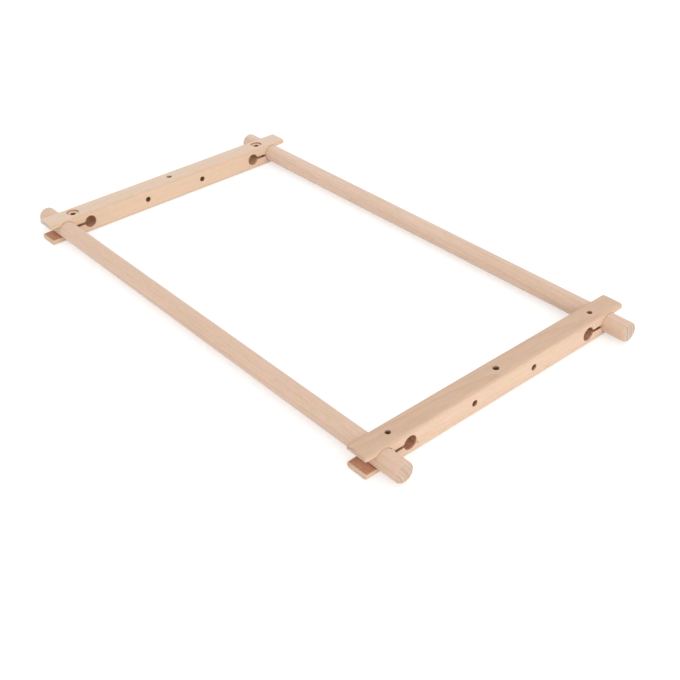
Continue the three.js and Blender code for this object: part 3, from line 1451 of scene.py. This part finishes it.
        # darker next to the seats: mostly painted shade beside the roller, with some scorch
        off_seat = from_seat - self.seat_radius
        mouth_char_and_shade = self.mouth_char_and_shade * np.clip(1 - off_seat / self.mouth_char_and_shade_reach, 0, 1)
        kerf_char_and_shade = 1 - soft_step(off_seat / np.where(at_back, self.back.char_and_shade_reach, self.front.char_and_shade_reach))
        seat_char_and_shade = 1 - soft_step(np.hypot(past_seat + self.seat_radius, z) / self.seat_char_and_shade_reach)
        regions = [in_side, in_upright, in_relief | in_recess, in_mouth, in_seat]
        char_and_shade = np.select(regions, [self.side_char_and_shade, 1.0, 0.0, mouth_char_and_shade, seat_char_and_shade], kerf_char_and_shade)
        store(mesh, "char_and_shade", "POINT", char_and_shade)

    def build(self) -> bpy.types.Object:
        """Make the bar in its node's place and hang it on its body.

        Returns:
            The finished object.
        """
        low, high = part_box(self.node)
        centre = (low + high) / 2
        width, length, height = high - low
        seed = int(self.log_cut.seed)
        item = self.blank(width, length, height)
        cutters = [self.through_hole("middle_hole", self.middle_radius, 0.0, UPRIGHT, height, seed)]
        for end in (1, -1):
            clamp_y = end * (self.seat_y(length) - self.clamp_from_seat)
            side_y = end * self.side_spacing / 2
            cutters += [
                self.split_cutter(width, length, end),
                self.clamp_cutter(height, clamp_y, seed + 2 * end),
                self.through_hole("side_hole", self.side_radius, side_y, ACROSS_BARS, width, seed + 3 * end),
            ]
        cut(item, cutters + [nick.cutter() for nick in self.nicks])
        self.mark_tools(item.data, width, length, height)
        item.data.transform(Matrix.Translation(centre) @ Matrix.Rotation(self.facing.value, 4, "Y"))
        smooth(item, self.crease)
        mark_end_grain(item.data, ALONG_BARS)
        # the rounded long edges' slant, which the material darkens as painted shade
        paint_edge_shade(item.data)
        item.data.materials.append(self.finish.material(self.log_cut, centre))
        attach(item, self.node)
        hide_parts(self.node)
        return item


# Studio


@dataclass(frozen=True)
class Lamp:
    """A large soft area lamp.

    Attributes:
        name: Its name.
        place: Where it stands.
        size: Length of its square side.
        power: Its power in watts.
    """

    name: str
    place: Vector
    size: float
    power: float

    def build(self) -> None:
        """Make the lamp, turned towards the origin."""
        data = bpy.data.lights.new(self.name, "AREA")
        data.size = self.size
        data.energy = self.power
        item = bpy.data.objects.new(self.name, data)
        item.location = self.place
        item.rotation_euler = (-self.place).to_track_quat("-Z", "Y").to_euler()
        bpy.context.scene.collection.objects.link(item)


@dataclass(frozen=True)
class Studio:
    """A white sweep: floor, world, lamps and the camera.

    Attributes:
        camera_place: Where the camera stands.
        camera_aim: The point in the middle of its picture.
        camera_roll: Its turn about its own view in degrees.
        lens: Focal length in millimetres.
        lamps: The lamps.
        sensor: Width of the picture on the sensor in millimetres.
        nearest: From the camera to the nearest thing that it shows.
        floor_size: Side of the square floor.
        floor_drop: How far the floor lies under the object, so that they never share a plane.
        floor_grey: Grey of the floor where it is seen.
        floor_lift: Light added to the floor where it is seen, so that it reads as white.
        floor_bounce: Grey of the floor for the light that it throws back.
        sky_strength: Strength of the world's even light.
    """

    camera_place: Vector
    camera_aim: Vector
    camera_roll: float
    lens: float
    lamps: tuple[Lamp, ...]
    sensor: float = 36.0
    nearest: float = 0.01
    floor_size: float = 8.0
    floor_drop: float = 0.3 * MM
    floor_grey: float = 0.62
    floor_lift: float = 0.55
    floor_bounce: float = 0.92
    sky_strength: float = 0.86

    def build_camera(self) -> None:
        """Make the camera and give it to the scene."""
        data = bpy.data.cameras.new("camera")
        data.lens = self.lens
        data.sensor_width = self.sensor
        data.clip_start = self.nearest
        item = bpy.data.objects.new("camera", data)
        look = (self.camera_aim - self.camera_place).to_track_quat("-Z", "Y").to_matrix().to_4x4()
        roll = Matrix.Rotation(math.radians(self.camera_roll), 4, "Z")
        item.matrix_world = Matrix.Translation(self.camera_place) @ look @ roll
        bpy.context.scene.collection.objects.link(item)
        bpy.context.scene.camera = item

    def build_sky(self) -> None:
        """Light the scene evenly from all round, with plain white where the world itself is seen."""
        world = bpy.data.worlds.new("sweep")
        bpy.context.scene.world = world
        graph = NodeGraph(world)
        even = graph.shader("Background", WHITE, Strength=self.sky_strength)
        plain = graph.shader("Background", WHITE, Strength=1.0)
        mixed = graph.node("MixShader", {0: graph.seen(), 1: even, 2: plain})
        graph.finish("OutputWorld", mixed.outputs[0])

    def build_floor(self) -> None:
        """Make the floor, a matt grey with a little light added where it is seen, which keeps the shadow."""
        corners = np.array([[-1, -1], [1, -1], [1, 1], [-1, 1]]) * self.floor_size / 2
        vertices = np.column_stack([corners, np.full(4, -self.floor_drop)])
        mesh = bpy.data.meshes.new("floor")
        mesh.from_pydata(vertices.tolist(), [], [[0, 1, 2, 3]])
        item = bpy.data.objects.new("floor", mesh)
        bpy.context.scene.collection.objects.link(item)

        material = bpy.data.materials.new("floor")
        graph = NodeGraph(material)
        bounce = graph.shader("BsdfDiffuse", (self.floor_bounce,) * 3)
        matt = graph.shader("BsdfDiffuse", (self.floor_grey,) * 3)
        lift = graph.shader("Emission", WHITE, Strength=self.floor_lift)
        lifted = graph.node("AddShader", {0: matt, 1: lift}).outputs[0]
        mixed = graph.node("MixShader", {0: graph.seen(), 1: bounce, 2: lifted})
        graph.finish("OutputMaterial", mixed.outputs[0])
        mesh.materials.append(material)

    def build(self) -> None:
        """Make the camera, the sky, the floor and the lamps."""
        self.build_camera()
        self.build_sky()
        self.build_floor()
        for lamp in self.lamps:
            lamp.build()
        bpy.context.scene.view_settings.view_transform = "Standard"


# The frame's own woods, cuts and light

STUDIO = Studio(
    camera_place=Vector((0.76168, -0.58530, 0.58917)),
    camera_aim=Vector((0.12275, -0.06156, 0.0125)),
    camera_roll=-2.154,
    lens=56.44,
    lamps=(Lamp(name="key_lamp", place=Vector((4.78, -0.95, 1.95)), size=3.6, power=58.0),),
)


def pieces() -> list[Roller | SideBar]:
    """The frame's four sticks, each with its own wood.

    Returns:
        The pieces in the order in which they are built.
    """
    left_wood = DrilledBeechFinish(
        name="left_bar_beech",
        sap=screen_colour(237, 211, 190),
        heart=screen_colour(238, 208, 182),
        ring_depth=0.06,
        fibre_depth=0.03,
    )
    right_wood = DrilledBeechFinish(
        name="right_bar_beech",
        sap=screen_colour(240, 209, 184),
        heart=screen_colour(221, 188, 163),
        ring_depth=0.07,
        fleck_depth=0.09,
    )
    front_wood = BeechFinish(
        name="front_roller_beech",
        sap=screen_colour(234, 203, 181),
        heart=screen_colour(229, 195, 171),
        end_rings=0.22,
        faintest_ring=0.65,
        fuzz=0.3,
    )
    back_wood = BeechFinish(
        name="back_roller_beech",
        sap=screen_colour(236, 207, 187),
        heart=screen_colour(229, 197, 174),
        end_rings=0.26,
        faintest_ring=0.65,
        fuzz=0.35,
    )
    left_cut = LogCut(
        Grain.ALONG_BARS, roll=25, dive=0.8, swing=0.6, depth=70, seed=3, sap_side=(-0.7, 0.0, 0.7)
    )
    right_cut = LogCut(
        Grain.ALONG_BARS, roll=80, dive=1.6, swing=0.7, depth=48, seed=17, sap_side=(0.7, 0.0, -0.7)
    )
    front_cut = LogCut(Grain.ALONG_ROLLERS, roll=19, dive=0.7, swing=0.9, depth=40, seed=29)
    back_cut = LogCut(Grain.ALONG_ROLLERS, roll=4, dive=0.6, swing=-0.7, depth=46, seed=41)
    left_back = BurnAndShade(brown=0.65, char_and_shade_reach=6 * MM)
    right_back = BurnAndShade(brown=0.95, char_and_shade_reach=10 * MM)
    nick = Nick(
        place=Vector((-12, -107.7, 3.4)) * MM,
        outward=Vector((-1, 0, 0)),
        heading=Vector((0, 0.25, 0.97)).normalized(),
    )
    return [
        SideBar("left_side_bar", left_wood, left_cut, Facing.UP, back=left_back),
        SideBar("right_side_bar", right_wood, right_cut, Facing.DOWN, back=right_back, nicks=(nick,)),
        Roller("front_roller", front_wood, front_cut),
        Roller("back_roller", back_wood, back_cut),
    ]


def main() -> None:
    logging.basicConfig(level=logging.INFO, format="%(name)s: %(message)s")
    STUDIO.build()
    for piece in pieces():
        item = piece.build()
        log.info("%s has %d faces and rides on %s", item.name, len(item.data.polygons), piece.node)


if __name__ == "__main__":
    main()
